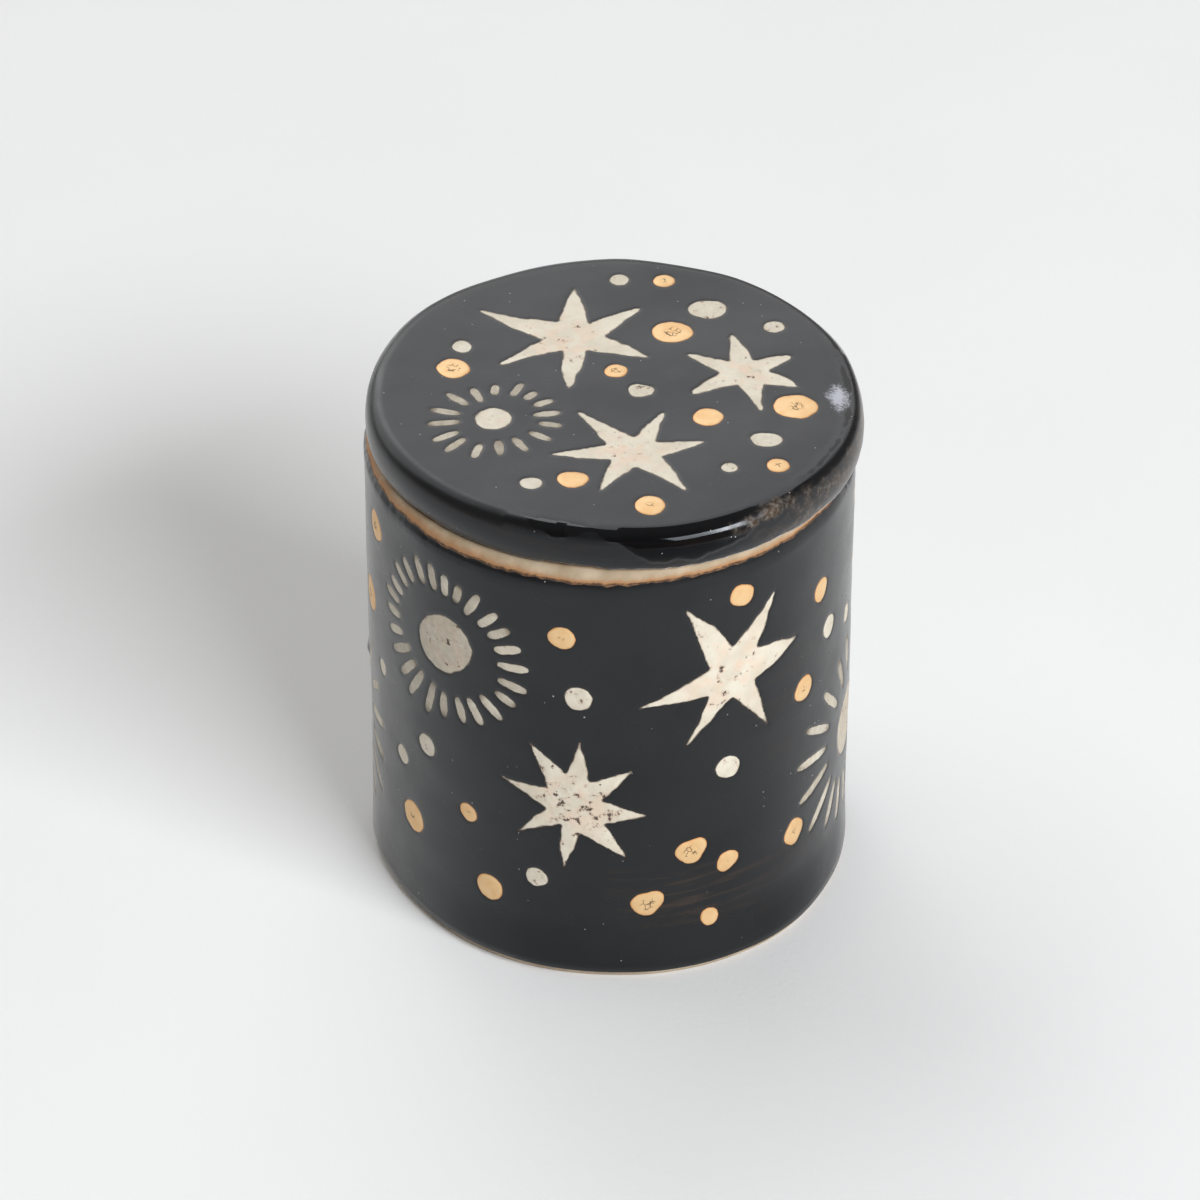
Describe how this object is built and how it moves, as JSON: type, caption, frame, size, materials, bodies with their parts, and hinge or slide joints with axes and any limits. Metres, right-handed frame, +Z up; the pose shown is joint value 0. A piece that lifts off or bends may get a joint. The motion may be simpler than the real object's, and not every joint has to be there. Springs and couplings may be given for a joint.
{
  "type": "lidded ceramic jar",
  "caption": "Small hand-built round jar with a flat lift-off lid, black glaze with cream stars, sunbursts and dots, and gold lustre dots.",
  "frame": {"origin": "centre of the pot's foot, on the surface that the jar stands on", "axes": "+Z up through the lid; -Y towards the front, the side that the picture looks at from above; +X to the right of that view"},
  "size_m": [0.0691, 0.0686, 0.0751],
  "materials": {
    "bare_clay": "matte",
    "clear_glaze": "gloss",
    "black_glaze": "satin",
    "cream_slip": "matte",
    "gold_lustre": "satin"
  },
  "bodies": {
    "pot": {"pot_base_slab": "bare_clay", "pot_wall_slab": "bare_clay", "pot_liner_glaze": "clear_glaze", "wall_black_glaze": "black_glaze", "wall_star_slip": "cream_slip", "wall_sun_slip": "cream_slip", "wall_dot_slip": "cream_slip", "wall_gold_lustre": "gold_lustre"},
    "lid": {"lid_slab": "bare_clay", "lid_locating_ring": "bare_clay", "lid_black_glaze": "black_glaze", "lid_star_slip": "cream_slip", "lid_sun_slip": "cream_slip", "lid_dot_slip": "cream_slip", "lid_gold_lustre": "gold_lustre"}
  },
  "joints": [
    {"name": "lid_lift", "type": "slide", "parent": "pot", "child": "lid", "axis": [0, 0, 1], "range_m": [0, 0.04]}
  ]
}
